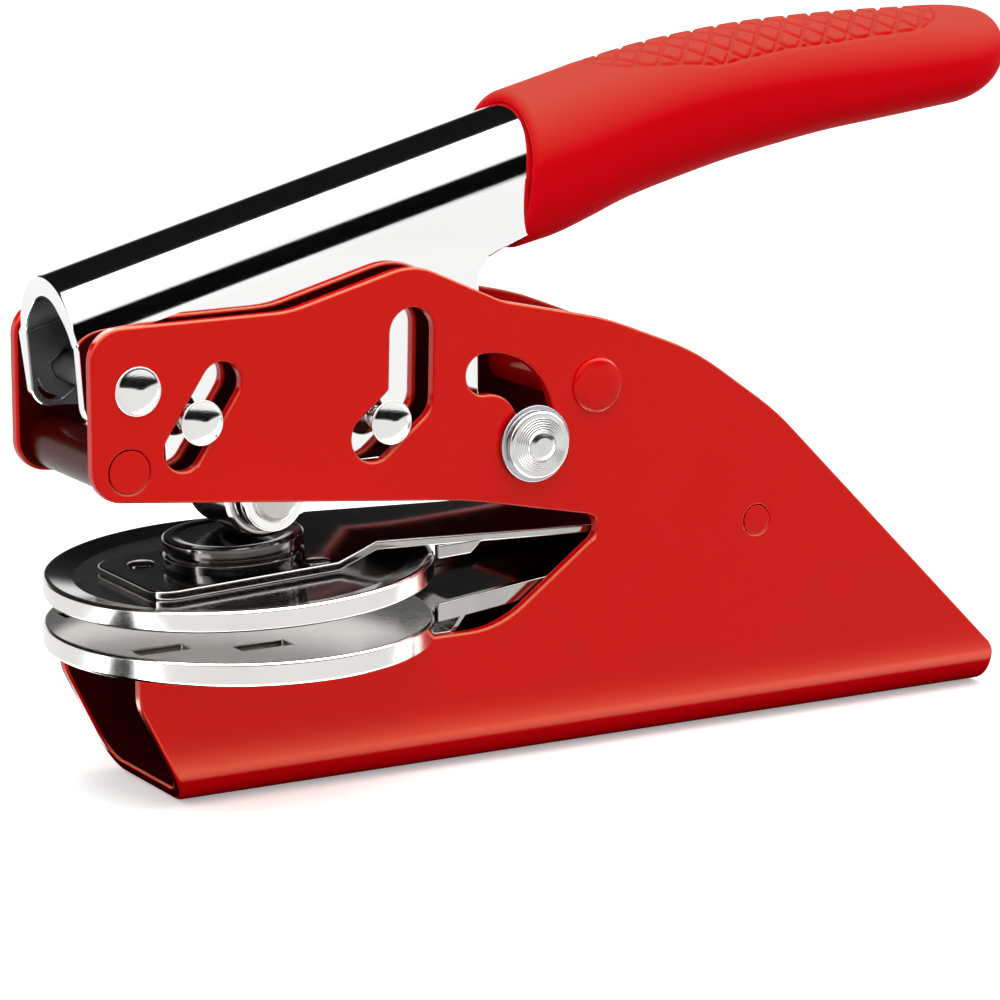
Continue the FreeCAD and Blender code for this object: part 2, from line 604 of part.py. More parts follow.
def build_button():
    """The pressure button that the roller pushes: a base and a dished top, with a groove between."""
    rim = "button_radius"
    step = "button_radius - button_groove"
    low, mid = ARM_TOP, f"{ARM_TOP} + button_base"
    top = f"{mid} + button_top"
    base = turned("button_base_turned", [
        ("0", low), (rim, low), (rim, f"{mid} - button_groove"), (step, mid), ("0", mid)])
    cap = turned("button_top_turned", [
        ("0", mid), (step, mid), (rim, f"{mid} + button_groove"), (rim, f"{top} - button_groove / 2"),
        (f"{rim} - button_groove / 2", top), (f"{rim} - button_rim", top),
        (f"{rim} - 2 * button_rim", f"{top} - button_dish"), ("0", f"{top} - button_dish")])
    for node, item in (("button_base", base), ("pressure_button", cap)):
        lift = pitched().multiply(FreeCAD.Placement(V(number("button_x"), 0, 0), FreeCAD.Rotation()))
        keep(node, item, lift)


def build_upper_die():
    """The sprung upper die: dished disc, embossing plate, strap, rivets and button."""
    disc = turned("upper_disc_turned", [
        ("0", "-dish_depth"), ("dish_floor", "-dish_depth"), ("dish_radius", "0"),
        ("die_radius - die_chamfer", "0"), ("die_radius", "-die_chamfer"),
        ("die_radius", "die_chamfer - upper_thickness"),
        ("die_radius - die_chamfer", "-upper_thickness"), ("plate_radius", "-upper_thickness"),
        ("plate_radius", UPPER_DROP), ("0", UPPER_DROP)])
    keep("upper_die_disc", disc, pitched())
    plate = turned("upper_plate_turned", [
        ("0", UPPER_DROP), ("plate_radius - plate_fit", UPPER_DROP),
        ("plate_radius - plate_fit", "-upper_thickness"), ("0", "-upper_thickness")])
    keep("upper_die_plate", plate, pitched())
    build_upper_arm()
    build_button()
    rivets = []
    top = f"{ARM_TOP} + arm_rivet_height"
    for which in ("one", "two"):
        head = turned(f"arm_rivet_{which}", [
            ("0", ARM_TOP), ("arm_rivet_radius", ARM_TOP),
            ("arm_rivet_radius", f"{ARM_TOP} + arm_rivet_height * 0.4"),
            ("arm_rivet_radius * 0.6", top), ("0", top)])
        rivets.append(place(head, (f"arm_rivet_{which}_x", f"arm_rivet_{which}_y", "0")))
    keep("upper_arm_rivets", fuse("arm_rivet_pair", *rivets), pitched())


# ---------------------------------------------------------------- lower die
def build_lower_die():
    """The fixed lower die on the base's edges: disc with windows, plate, strap and hinge pin."""
    bottom = "lower_top_z - lower_thickness"
    shelf = "lower_top_z - lower_cap"
    disc = turned("lower_disc_turned", [
        ("plate_radius", bottom), ("die_radius - die_chamfer", bottom),
        ("die_radius", f"{bottom} + die_chamfer"), ("die_radius", "lower_top_z - die_chamfer"),
        ("die_radius - die_chamfer", "lower_top_z"), ("0", "lower_top_z"), ("0", shelf),
        ("plate_radius", shelf)])
    windows = []
    for which in ("outer", "inner"):
        for side, sign in (("near", "-"), ("far", "")):
            item = doc.addObject("Part::Box", f"{which}_{side}_window")
            bind(item, Length="window_length", Width="window_width", Height="lower_cap")
            corner = (f"{which}_window_x - window_length / 2",
                      f"{sign}{which}_window_y - window_width / 2", shelf)
            windows.append(place(item, corner))
    keep("lower_die_disc", cut("lower_disc_cut", disc, fuse("disc_windows", *windows)))
    plate = turned("lower_plate_turned", [
        ("0", bottom), ("plate_radius - plate_fit", bottom), ("plate_radius - plate_fit", shelf),
        ("0", shelf)])
    keep("lower_die_plate", plate)
    floor_low = f"{bottom} - arm_sheet"
    climb = "tan(wall_rise * 1deg)"
    rise_x = "(lower_arm_bend_x + lower_arm_joggle)"
    rise_z = f"wall_start_z + ({rise_x} - wall_start_x) * {climb}"
    end_z = f"wall_start_z + (die_hinge_x - wall_start_x) * {climb}"
    strap = side_pad("lower_strap", [
        ("arm_nose_x", floor_low), ("lower_arm_bend_x", floor_low), (rise_x, rise_z),
        ("die_hinge_x", end_z), ("die_hinge_x", f"{end_z} + arm_sheet"),
        (rise_x, f"{rise_z} + arm_sheet"), ("lower_arm_bend_x", bottom), ("arm_nose_x", bottom)],
        "arm_width")
    dress(strap, "Fillet", "arm_nose_radius",
          lambda mid, run: abs(run.z) > 0.9 * run.Length and abs(mid.x - number("arm_nose_x")) < 0.01)
    walls = side_pad("lower_walls", [
        ("wall_start_x", "wall_start_z"), ("die_hinge_x", end_z),
        ("die_hinge_x", f"{end_z} + wall_height"), ("wall_start_x", "wall_start_z + wall_height")],
        "arm_width")
    trough = side_pad("lower_trough", [
        ("wall_start_x - 1", floor_low), ("die_hinge_x + 1", floor_low),
        ("die_hinge_x + 1", "2 * die_hinge_z"), ("wall_start_x - 1", "2 * die_hinge_z")],
        "arm_width - 2 * arm_sheet")
    channel = fuse("lower_strap_channel", strap, cut("lower_wall_pair", walls, trough))
    eye = hinge_bar("lower_eye", "knuckle_radius", "arm_width")
    room = fuse("lower_arm_room", hinge_bar("lower_eye_bore", "hinge_radius + rivet_fit", THROUGH),
                hinge_block("lower_room", "-knuckle_half - knuckle_gap", "knuckle_half + knuckle_gap"))
    keep("lower_arm", cut("lower_arm_cut", fuse("lower_arm_all", channel, eye), room))
    keep("die_hinge_pin", hinge_bar("hinge_pin_bar", "hinge_radius", "frame_width"))


# ---------------------------------------------------------------- lock
def build_lock():
    """The stud that slides in the hook slots, a flange against each plate, and its two knobs."""
    flange = f"({OUTER} + head_gap)"
    rim = f"({flange} + stud_flange)"
    knob_end = f"({rim} + knob_length)"
    tip = f"({knob_end} + stud_tip)"
    x, z = "hook_x + hook_radius * cos(hook_start * 1deg)", "hook_z + hook_radius * sin(hook_start * 1deg)"
    stud = turned("stud_turned", [
        ("0", f"-{tip}"), ("stud_radius", f"-{tip}"), ("stud_radius", f"-{rim}"),
        ("stud_flange_radius", f"-{rim}"), ("stud_flange_radius", f"-{flange}"),
        ("stud_radius", f"-{flange}"), ("stud_radius", flange), ("stud_flange_radius", flange),
        ("stud_flange_radius", rim), ("stud_radius", rim), ("stud_radius", tip), ("0", tip)])
    keep("lock_stud", place(stud, (x, "0", z), Y_TURN))
    bore = "stud_radius + knob_fit"
    for node, sign in (("lock_knob_near", "-"), ("lock_knob_far", "")):
        step = "knob_ring"
        knob = turned(node + "_turned", [
            (bore, f"{sign}{rim}"), (f"knob_radius - {step}", f"{sign}{rim}"),
            ("knob_radius", f"{sign}({rim} + {step})"), ("knob_radius", f"{sign}({knob_end} - {step})"),
            (f"knob_radius - {step}", f"{sign}{knob_end}"),
            (f"knob_radius - 3 * {step}", f"{sign}{knob_end}"),
            (f"knob_radius - 3 * {step}", f"{sign}({knob_end} - {step})"),
            (bore, f"{sign}({knob_end} - {step})")])
        keep(node, place(knob, (x, "0", z), Y_TURN))


build_frame()
build_ties()
build_pins()
build_grip(build_lever(), build_tang())
build_roller()
build_upper_die()
build_lower_die()
build_lock()
doc.recompute()

for item in doc.Objects:
    if {"Invalid", "Error"} & set(item.State):
        raise RuntimeError(f"{item.Name}: {item.State}")
os.makedirs("parts", exist_ok=True)
for node, item in PARTS.items():
    solid = item.Shape
    if solid.isNull() or not solid.isValid() or not solid.Solids:
        raise RuntimeError(f"{node}: not a valid solid")
    print(f"{node}: {len(solid.Solids)} solid(s), {solid.Volume:.1f} mm3")
    solid.exportStep(f"parts/{node}.step")
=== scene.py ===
import json
import math

import bmesh
import bpy
from mathutils import Matrix, Vector


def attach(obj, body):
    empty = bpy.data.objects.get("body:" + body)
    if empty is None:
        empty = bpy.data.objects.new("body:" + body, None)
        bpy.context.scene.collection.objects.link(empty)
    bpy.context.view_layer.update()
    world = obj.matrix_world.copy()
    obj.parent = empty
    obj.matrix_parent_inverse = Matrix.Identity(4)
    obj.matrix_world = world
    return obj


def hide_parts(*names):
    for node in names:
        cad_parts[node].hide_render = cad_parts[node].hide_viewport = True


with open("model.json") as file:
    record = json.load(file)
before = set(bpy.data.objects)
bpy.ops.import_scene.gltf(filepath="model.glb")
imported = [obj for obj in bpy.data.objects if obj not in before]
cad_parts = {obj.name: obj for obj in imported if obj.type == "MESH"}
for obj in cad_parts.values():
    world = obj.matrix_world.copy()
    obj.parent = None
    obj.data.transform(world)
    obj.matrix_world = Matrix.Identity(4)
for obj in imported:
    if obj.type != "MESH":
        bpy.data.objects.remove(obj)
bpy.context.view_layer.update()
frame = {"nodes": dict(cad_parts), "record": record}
NODES = frame["nodes"]
MM, MICRON = 0.001, 0.000001

# ---------------------------------------------------------------- camera
AZIMUTH, ELEVATION = math.radians(29.79), math.radians(12.32)
TARGET = Vector((39.11, 0.0, 32.13)) * MM
DISTANCE = 586.5 * MM
LENS, SENSOR = 157.75, 36.0
back = Vector((-math.sin(AZIMUTH) * math.cos(ELEVATION),
               -math.cos(AZIMUTH) * math.cos(ELEVATION),
               math.sin(ELEVATION)))
camera = bpy.data.objects.new("camera", bpy.data.cameras.new("camera"))
bpy.context.scene.collection.objects.link(camera)
camera.location = TARGET + back * DISTANCE
camera.rotation_mode = "QUATERNION"
camera.rotation_quaternion = (-back).to_track_quat("-Z", "Y")
camera.data.sensor_width = SENSOR
camera.data.lens = LENS
camera.data.clip_start, camera.data.clip_end = 0.01, 50.0
bpy.context.scene.camera = camera
bpy.context.scene.view_settings.view_transform = "Standard"

# ---------------------------------------------------------------- node trees


def grey(level):
    return (level, level, level, 1)


class Tree:
    """A node tree, with one call per node."""

    def __init__(self, tree):
        self.tree = tree

    def add(self, kind, **settings):
        node = self.tree.nodes.new(kind)
        for key, value in settings.items():
            setattr(node, key, value)
        return node

    def link(self, out, into):
        self.tree.links.new(out, into)

    def split(self, value):
        node = self.add("ShaderNodeSeparateXYZ")
        self.link(value, node.inputs[0])
        return node.outputs

    def reckon(self, operation, *values):
        """A maths node on outputs and floats."""
        node = self.add("ShaderNodeMath", operation=operation)
        for value, socket in zip(values, node.inputs):
            if isinstance(value, float):
                socket.default_value = value
            else:
                self.link(value, socket)
        return node.outputs[0]

    def spread(self, value, low, high, start=0.3, end=0.7):
        """A value from start to end (the range of noise, if not given) spread over low to high."""
        node = self.add("ShaderNodeMapRange")
        for key, number in (("From Min", start), ("From Max", end),
                            ("To Min", low), ("To Max", high)):
            node.inputs[key].default_value = number
        self.link(value, node.inputs["Value"])
        return node.outputs["Result"]

    def banded_light(self, kind, value, bands, span, peak):
        """Light of a kind in grey bands (place, level), along a value that covers a span."""
        node = self.add("ShaderNodeValToRGB")
        self.link(value, node.inputs[0])
        stops = node.color_ramp.elements
        while len(stops) > 1:
            stops.remove(stops[-1])
        for index, (place, level) in enumerate(bands):
            stop = stops[0] if index == 0 else stops.new(place / span)
            stop.position = place / span
            stop.color = grey(level / peak)
        light = self.add(kind)
        light.inputs["Strength"].default_value = peak
        self.link(node.outputs["Color"], light.inputs["Color"])
        return light.outputs[0]

    def by_ray(self, ray, shader, otherwise):
        """One shader for a kind of ray, and another for the rest."""
        node = self.add("ShaderNodeMixShader")
        rays = self.add("ShaderNodeLightPath")
        for index, out in enumerate((rays.outputs[ray], otherwise, shader)):
            self.link(out, node.inputs[index])
        return node.outputs[0]


class Nodes(Tree):
    """A material's node tree."""

    def __init__(self, name):
        self.material = bpy.data.materials.new(name)
        self.material.use_nodes = True
        super().__init__(self.material.node_tree)
        self.shader = self.tree.nodes["Principled BSDF"]
        coordinates = self.add("ShaderNodeTexCoord")
        self.place, self.facing = coordinates.outputs["Object"], coordinates.outputs["Normal"]

    def noise(self, scale, stretch=(1, 1, 1)):
        """Noise of a scale in waves per metre, stretched along the object's axes."""
        mapping = self.add("ShaderNodeMapping")
        mapping.inputs["Scale"].default_value = stretch
        self.link(self.place, mapping.inputs["Vector"])
        node = self.add("ShaderNodeTexNoise")
        node.inputs["Scale"].default_value = scale
        node.inputs["Detail"].default_value = 3.0
        self.link(mapping.outputs["Vector"], node.inputs["Vector"])
        return node.outputs["Fac"]

    def tint(self, value, one, two):
        """A colour between two, by a value."""
        node = self.add("ShaderNodeMix", data_type="RGBA")
        node.inputs["A"].default_value = (*one, 1)
        node.inputs["B"].default_value = (*two, 1)
        self.link(value, node.inputs["Factor"])
        return node.outputs["Result"]

    def colour(self, out):
        self.link(out, self.shader.inputs["Base Color"])

    def rough(self, value, least, most):
        self.link(self.spread(value, least, most), self.shader.inputs["Roughness"])

    def bump(self, value, depth):
        """Relief of a depth in metres."""
        node = self.add("ShaderNodeBump")
        node.inputs["Strength"].default_value = 1.0
        node.inputs["Distance"].default_value = depth
        self.link(value, node.inputs["Height"])
        self.link(node.outputs["Normal"], self.shader.inputs["Normal"])

    def constant(self, **values):
        """Set the shader's own sockets, named with underscores for spaces."""
        for key, value in values.items():
            self.shader.inputs[key.replace("_", " ")].default_value = value


# ---------------------------------------------------------------- materials
# the scale of the wide noise as a share of the fine one's, and the wave texture's own period
CLOUDS, WAVE_LENGTH = 0.12, 0.314
RED, SECOND_RED = (0.69, 0.0005, 0.005), (0.675, 0.0005, 0.0045)
# painted shade: the first is a near-black red for the inside between the plates; painted
# highlight: the second is a pale orange for the broken edges that face up
SHADED_RED, PAINTED_HIGHLIGHT_RED = (0.05, 0.0008, 0.001), (0.74, 0.17, 0.085)
# painted sheen: the second is a paler orange-red for the top of the grip
RUBBER_REDS, PAINTED_SHEEN_RUBBER = ((0.7, 0.001, 0.007), (0.67, 0.001, 0.006)), (0.44, 0.05, 0.032)
# what the red surfaces mirror looks orange
WARM, ORANGE, DEEP_ORANGE = (1.0, 0.52, 0.24, 1.0), (1.0, 0.36, 0.16, 1.0), (1.0, 0.38, 0.14, 1.0)
# where the frame opens at its back, and its inside turns from painted shade to full red
OPEN_X, OPEN_Z = (26 * MM, 33 * MM), (54 * MM, 57 * MM)


def finish_of(name, one, two, rough, scale, depth, stretch=(1, 1, 1), **constants):
    """A material with fine noise in its roughness and relief, and wide noise in its colour."""
    nodes = Nodes(name)
    fine = nodes.noise(scale, stretch)
    nodes.colour(nodes.tint(nodes.spread(nodes.noise(scale * CLOUDS, stretch), 0, 1), one, two))
    nodes.rough(fine, *rough)
    nodes.bump(fine, depth)
    nodes.constant(**constants)
    return nodes.material


def metal_of(name, one, two, rough, scale, depth, stretch=(1, 1, 1)):
    return finish_of(name, one, two, rough, scale, depth, stretch, Metallic=1.0)


def turned_of(name, one, two, rough, pitch, depth):
    """A metal with fine turned rings round the piece's own axis."""
    nodes = Nodes(name)
    nodes.colour(nodes.tint(nodes.spread(nodes.noise(180), 0, 1), one, two))
    nodes.rough(nodes.noise(1500), *rough)
    wave = nodes.add("ShaderNodeTexWave", wave_type="RINGS", rings_direction="Z")
    wave.inputs["Scale"].default_value = WAVE_LENGTH / pitch
    wave.inputs["Distortion"].default_value = 0.6
    nodes.link(nodes.place, wave.inputs["Vector"])
    nodes.bump(wave.outputs["Fac"], depth)
    nodes.constant(Metallic=1.0)
    return nodes.material


def painted_highlight_above(name, skins, highlight, facing, rough, scale, depth, **constants):
    """A finish with a painted highlight: paler where the surface faces up."""
    nodes = Nodes(name)
    fine = nodes.noise(scale)
    mixed = nodes.add("ShaderNodeMix", data_type="RGBA")
    mixed.inputs["B"].default_value = (*highlight, 1)
    nodes.link(nodes.spread(nodes.split(nodes.facing)["Z"], 0, 1, *facing), mixed.inputs["Factor"])
    nodes.link(nodes.tint(nodes.spread(nodes.noise(scale * CLOUDS), 0, 1), *skins),
               mixed.inputs["A"])
    nodes.colour(mixed.outputs["Result"])
    nodes.rough(fine, *rough)
    nodes.bump(fine, depth)
    nodes.constant(**constants)
    return nodes.material


def inner_painted_shade():
    """The paint between the side plates, a painted shade: dark, and full red again along the open
    back edge.
    """
    nodes = Nodes("inner_painted_shade")
    axes = nodes.split(nodes.place)
    lit = nodes.reckon("MULTIPLY", nodes.spread(axes["Z"], 0, 1, *OPEN_Z),
                       nodes.spread(axes["X"], 0, 1, *OPEN_X))
    nodes.colour(nodes.tint(lit, SHADED_RED, RED))
    fine = nodes.noise(900)
    nodes.rough(fine, 0.2, 0.28)
    nodes.bump(fine, 4 * MICRON)
    nodes.constant(IOR=1.3, Specular_Tint=DEEP_ORANGE)
    return nodes.material


PAINT = finish_of("red_paint", RED, SECOND_RED, (0.11, 0.15), 900, 3 * MICRON,
                  IOR=1.5, Specular_Tint=ORANGE)
# painted highlight along the frame's broken edges that face up
EDGE_HIGHLIGHT_PAINT = painted_highlight_above("edge_highlight_paint", (RED, SECOND_RED), PAINTED_HIGHLIGHT_RED, (0.2, 0.75),
                        (0.14, 0.2), 900, 3 * MICRON, IOR=1.5, Specular_Tint=ORANGE)
INNER_PAINTED_SHADE = inner_painted_shade()
CHROME = metal_of("bright_chrome", (0.93, 0.93, 0.92), (0.9, 0.9, 0.89), (0.05, 0.08),
                  1500, 0.4 * MICRON, stretch=(0.05, 1, 1))
DARK_CHROME = metal_of("dark_chrome", (0.5, 0.49, 0.47), (0.42, 0.41, 0.39), (0.08, 0.13),
                       1500, 0.6 * MICRON)
KNOB_STEEL = turned_of("knob_steel", (0.74, 0.73, 0.71), (0.62, 0.61, 0.59), (0.16, 0.24),
                       0.3 * MM, 3 * MICRON)
STUD_STEEL = turned_of("stud_steel", (0.5, 0.52, 0.55), (0.42, 0.44, 0.47), (0.14, 0.2),
                       0.4 * MM, MICRON)
STEEL = metal_of("polished_steel", (0.86, 0.86, 0.85), (0.8, 0.8, 0.79), (0.1, 0.18),
                 2500, MICRON)
TURNED_STEEL = turned_of("turned_steel", (0.82, 0.81, 0.79), (0.74, 0.73, 0.71), (0.1, 0.16),
                         0.32 * MM, 1.6 * MICRON)
DARK_STEEL = metal_of("dark_steel", (0.16, 0.155, 0.15), (0.11, 0.105, 0.1), (0.08, 0.13),
                      1800, 0.8 * MICRON)
ROLLER_STEEL = turned_of("roller_steel", (0.66, 0.63, 0.6), (0.54, 0.51, 0.48), (0.12, 0.2),
                         0.4 * MM, MICRON)
# painted shade: a darker, duller steel for the lever's hollow, its washers and the pin within it
SHADED_INNER_STEEL = metal_of("shaded_inner_steel", (0.3, 0.3, 0.31), (0.2, 0.2, 0.2), (0.38, 0.5),
                       700, 6 * MICRON)
BRONZE = metal_of("bush_bronze", (0.42, 0.26, 0.12), (0.34, 0.2, 0.09), (0.3, 0.42),
                  2200, 5 * MICRON)
BLACK_NICKEL = metal_of("black_nickel", (0.6, 0.58, 0.56), (0.5, 0.48, 0.46), (0.09, 0.14),
                        1500, 0.6 * MICRON)
SATIN = metal_of("satin_nickel", (0.8, 0.78, 0.75), (0.75, 0.73, 0.7), (0.14, 0.18),
                 900, 0.8 * MICRON)
BRASS = metal_of("die_brass", (0.78, 0.70, 0.58), (0.5, 0.42, 0.3), (0.3, 0.45),
                 2600, 30 * MICRON)
TANG = metal_of("tang_steel", (0.4, 0.39, 0.37), (0.33, 0.32, 0.3), (0.3, 0.42),
                1200, 5 * MICRON)
# painted sheen on the grip's top, paler where it faces up
RUBBER = painted_highlight_above("grip_rubber", RUBBER_REDS, PAINTED_SHEEN_RUBBER, (0.12, 0.85),
                    (0.5, 0.6), 2600, 8 * MICRON, IOR=1.12, Specular_Tint=WARM)
FINISHES = {"frame_paint": PAINT, "bright_chrome": CHROME, "polished_steel": STEEL,
            "dark_steel": DARK_STEEL, "bush_bronze": BRONZE, "black_nickel": BLACK_NICKEL,
            "satin_nickel": SATIN, "die_brass": BRASS, "tang_steel": TANG,
            "grip_rubber": RUBBER}
SLOTS = {
    "frame_paint": ["frame_body", "front_tie_rivet", "rear_tie_rivet"],
    "bright_chrome": ["handle_channel", "upper_arm", "lower_arm", "upper_arm_rivets"],
    "polished_steel": ["pivot_pin", "front_guide_pin", "rear_guide_pin", "die_hinge_pin",
                       "lock_stud", "lock_knob_near", "lock_knob_far", "roller_axle",
                       "pivot_washers"],
    "dark_steel": ["roller", "button_base", "pressure_button"],
    "bush_bronze": ["roller_bush"],
    "black_nickel": ["upper_die_disc"],
    "satin_nickel": ["lower_die_disc", "upper_die_plate"],
    "die_brass": ["lower_die_plate"],
    "tang_steel": ["handle_tang"],
    "grip_rubber": ["handle_grip"],
}
SLOT_OF = {node: slot for slot, nodes in SLOTS.items() for node in nodes}


# ---------------------------------------------------------------- pieces
# degrees above which an edge stays sharp, in general, on the upper die and on the grip; and below
# which a fold counts as flat
SHARP, DIE_SHARP, GRIP_SHARP, FLAT = 32.0, 20.0, 60.0, 0.4
WELD = 4 * MICRON
# segments of turned pieces, and steps of a rounded corner
SMALL, MEDIUM, LARGE, LARGEST, ARC_STEPS = 96, 128, 160, 192, 6


def body_of(node):
    for body, members in frame["record"]["behaviour"]["bodies"].items():
        if node in members:
            return body
    return "frame"


def settle(obj, node):
    """The piece takes its node's slot and finish, rides on its body and stands for it."""
    slot = SLOT_OF[node]
    bpy.context.scene.collection.objects.link(obj)
    obj.data.materials.clear()
    obj.data.materials.append(FINISHES[slot])
    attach(obj, body_of(node))
    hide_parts(node)


def shade(mesh, angle=SHARP):
    """Smooth shading, broken along edges sharper than an angle."""
    for face in mesh.polygons:
        face.use_smooth = True
    mesh.set_sharp_from_angle(angle=math.radians(angle))


def soften(node, width):
    """The CAD node's own shape, with its sharp edges broken by a width in mm."""
    mesh = NODES[node].data.copy()
    mesh.name = node + "_finish"
    shape = bmesh.new()
    shape.from_mesh(mesh)
    bmesh.ops.remove_doubles(shape, verts=shape.verts, dist=WELD)
    bmesh.ops.dissolve_limit(shape, angle_limit=math.radians(FLAT), verts=shape.verts,
                             edges=shape.edges)
    bmesh.ops.recalc_face_normals(shape, faces=shape.faces)
    shape.to_mesh(mesh)
    shape.free()
    if "custom_normal" in mesh.attributes:
        mesh.attributes.remove(mesh.attributes["custom_normal"])
    shade(mesh)
    obj = bpy.data.objects.new(node + "_finish", mesh)
    settle(obj, node)
    bevel = obj.modifiers.new("broken_edges", "BEVEL")
    bevel.width = width * MM
    bevel.segments = 3
    bevel.limit_method = "ANGLE"
    bevel.angle_limit = math.radians(SHARP)
    bevel.use_clamp_overlap = False
    bevel.harden_normals = True


def rounded(corners):
    """A profile whose corners (r, h, radius) are rounded with arcs."""
    points = []
    for index, corner in enumerate(corners):
        here, radius = Vector(corner[:2]), corner[2] if len(corner) > 2 else 0.0
        if not radius or index in (0, len(corners) - 1):
            points.append(here)
            continue
        into = (Vector(corners[index - 1][:2]) - here).normalized()
        away = (Vector(corners[index + 1][:2]) - here).normalized()
        half = into.angle(away) / 2
        reach = radius / math.tan(half)
        centre = here + (into + away).normalized() * (radius / math.sin(half))
        first, last = here + into * reach - centre, here + away * reach - centre
        for step in range(ARC_STEPS + 1):
            points.append(centre + first.slerp(last, step / ARC_STEPS).normalized() * radius)
    return points


def lathe(name, corners, node, place, segments=SMALL, angle=SHARP):
    """A turned piece for a node: a closed profile (radius, height in mm) swept round an axis."""
    mesh = bpy.data.meshes.new(name)
    shape = bmesh.new()
    turns = [math.tau * k / segments for k in range(segments)]
    rings = []
    for point in rounded(corners):
        on_axis = point.x < 1e-6
        if on_axis:
            rings.append([shape.verts.new((0, 0, point.y * MM))])
            continue
        rings.append([shape.verts.new((point.x * math.cos(turn) * MM,
                                       point.x * math.sin(turn) * MM, point.y * MM))
                      for turn in turns])
    for one, two in zip(rings, rings[1:] + ([] if len(rings[0]) == 1 else rings[:1])):
        for k in range(segments):
            after = (k + 1) % segments
            face = list(dict.fromkeys((one[k % len(one)], one[after % len(one)],
                                       two[after % len(two)], two[k % len(two)])))
            if len(face) > 2:
                shape.faces.new(face)
    bmesh.ops.recalc_face_normals(shape, faces=shape.faces)
    shape.to_mesh(mesh)
    shape.free()
    shade(mesh, angle)
    obj = bpy.data.objects.new(name, mesh)
    obj.matrix_world = place
    settle(obj, node)


# the width of each softened piece's broken edges, in mm
SOFT_EDGES = {"frame_body": 0.4, "handle_channel": 0.3, "upper_arm": 0.3, "lower_arm": 0.18,
              "front_tie_rivet": 0.15, "handle_tang": 0.2, "roller_bush": 0.12,
              "pivot_washers": 0.15, "die_hinge_pin": 0.2, "lower_die_plate": 0.1,
              "lower_die_disc": 0.12, "upper_die_plate": 0.12, "upper_arm_rivets": 0.12}
for node, width in SOFT_EDGES.items():
    soften(node, width)


def finish(piece, material):
    """Give a whole piece another material than its slot's."""
    bpy.data.objects[piece].data.materials.clear()
    bpy.data.objects[piece].data.materials.append(material)


def finish_part(piece, material, chosen):
    """Give the chosen faces of a piece a material of their own."""
    mesh = bpy.data.objects[piece].data
    mesh.materials.append(material)
    for face in mesh.polygons:
        if chosen(face):
            face.material_index = len(mesh.materials) - 1


def between_walls(half, low):
    """A test for faces that lie between two side walls and above a height, both in mm."""
    return lambda face: abs(face.center.y) < half * MM and face.center.z > low * MM


# the frame's inside, which takes the painted shade, lies within the first and above the second,
# and its rivet's in the third
PLATES_INSIDE, BASE_INSIDE, PLATES_OUTSIDE = 10.75, 1.5, 12.3
finish("upper_arm_finish", DARK_CHROME)
finish("lower_arm_finish", DARK_CHROME)
finish("upper_arm_rivets_finish", DARK_CHROME)
finish("die_hinge_pin_finish", PAINT)
# painted shade: the washers between lever and plates take the darker steel
finish("pivot_washers_finish", SHADED_INNER_STEEL)
# painted shade: the faces between the plates, and the tie rivet's shank between them, take the
# dark inner paint
finish_part("frame_body_finish", INNER_PAINTED_SHADE, between_walls(PLATES_INSIDE, BASE_INSIDE))
finish_part("front_tie_rivet_finish", INNER_PAINTED_SHADE, between_walls(PLATES_OUTSIDE, 0.0))

# painted highlight: the sheet's broken edges are painted a paler orange where they face up
frame_piece = bpy.data.objects["frame_body_finish"]
frame_piece.data.materials.append(EDGE_HIGHLIGHT_PAINT)
frame_piece.modifiers["broken_edges"].material = len(frame_piece.data.materials) - 1

# ---------------------------------------------------------------- lever
# its ridge at the front, its slope and its sheet; its arch's radius, and how much it is flattened
RIDGE_X, RIDGE_Z, LEVER_PITCH, WALL = -26.8, 68.4, math.radians(14.9), 1.6
ARCH, ARCH_FLAT, ARCH_SLACK = 8.7, 0.6, 0.05
# the sheet's front lip, thicker above and narrower inside than the solid's
LIP_END, LIP_THICKER, LIP_NARROWER, LIP_BLEND = -20.0, 1.0, 0.12, 5.0


def in_lever(point):
    """How far a point lies under the lever's outer skin, and above its arch's spring, in mm."""
    x, y, z = (value / MM for value in point)
    crown = RIDGE_Z + (x - RIDGE_X) * math.tan(LEVER_PITCH)
    rise = (z - (crown - ARCH)) * math.cos(LEVER_PITCH)
    return ARCH - math.hypot(y, max(rise, 0.0)), rise


def in_hollow(face):
    end = abs(face.normal.x) > 0.5 or face.normal.z < -0.8
    return in_lever(face.center)[0] > WALL * 0.7 and not end


# painted shade: the lever's hollow takes the darker steel
finish_part("handle_channel_finish", SHADED_INNER_STEEL, in_hollow)
lever = bpy.data.objects["handle_channel_finish"]
# the arch is a little flat, and its sheet is thicker at the front, where it is folded tight
for vertex in lever.data.vertices:
    depth, rise = in_lever(vertex.co)
    if depth > WALL * 0.8 and rise > 0.0 and vertex.co.x < LIP_END * MM:
        weight = min(rise / LIP_BLEND, 1.0)
        vertex.co.z -= LIP_THICKER * MM * weight
        vertex.co.y *= 1 - LIP_NARROWER * weight
    if rise > -ARCH_SLACK:
        vertex.co.z -= ARCH_FLAT * MM
lever.modifiers["broken_edges"].harden_normals = False
level_walls = lever.modifiers.new("level_walls", "WEIGHTED_NORMAL")
level_walls.keep_sharp = True

# ---------------------------------------------------------------- turned pieces
TO_Y = Matrix.Rotation(math.radians(-90), 4, "X")
# the upper die stands at a pitch, and its button a little in front of its middle
DIE_HEIGHT, DIE_PITCH, BUTTON_AHEAD = 28.25, math.radians(-2.6), 0.6
DIE = Matrix.Translation((0, 0, DIE_HEIGHT * MM)) @ Matrix.Rotation(DIE_PITCH, 4, "Y")
BUTTON = DIE @ Matrix.Translation((-BUTTON_AHEAD * MM, 0, 0))
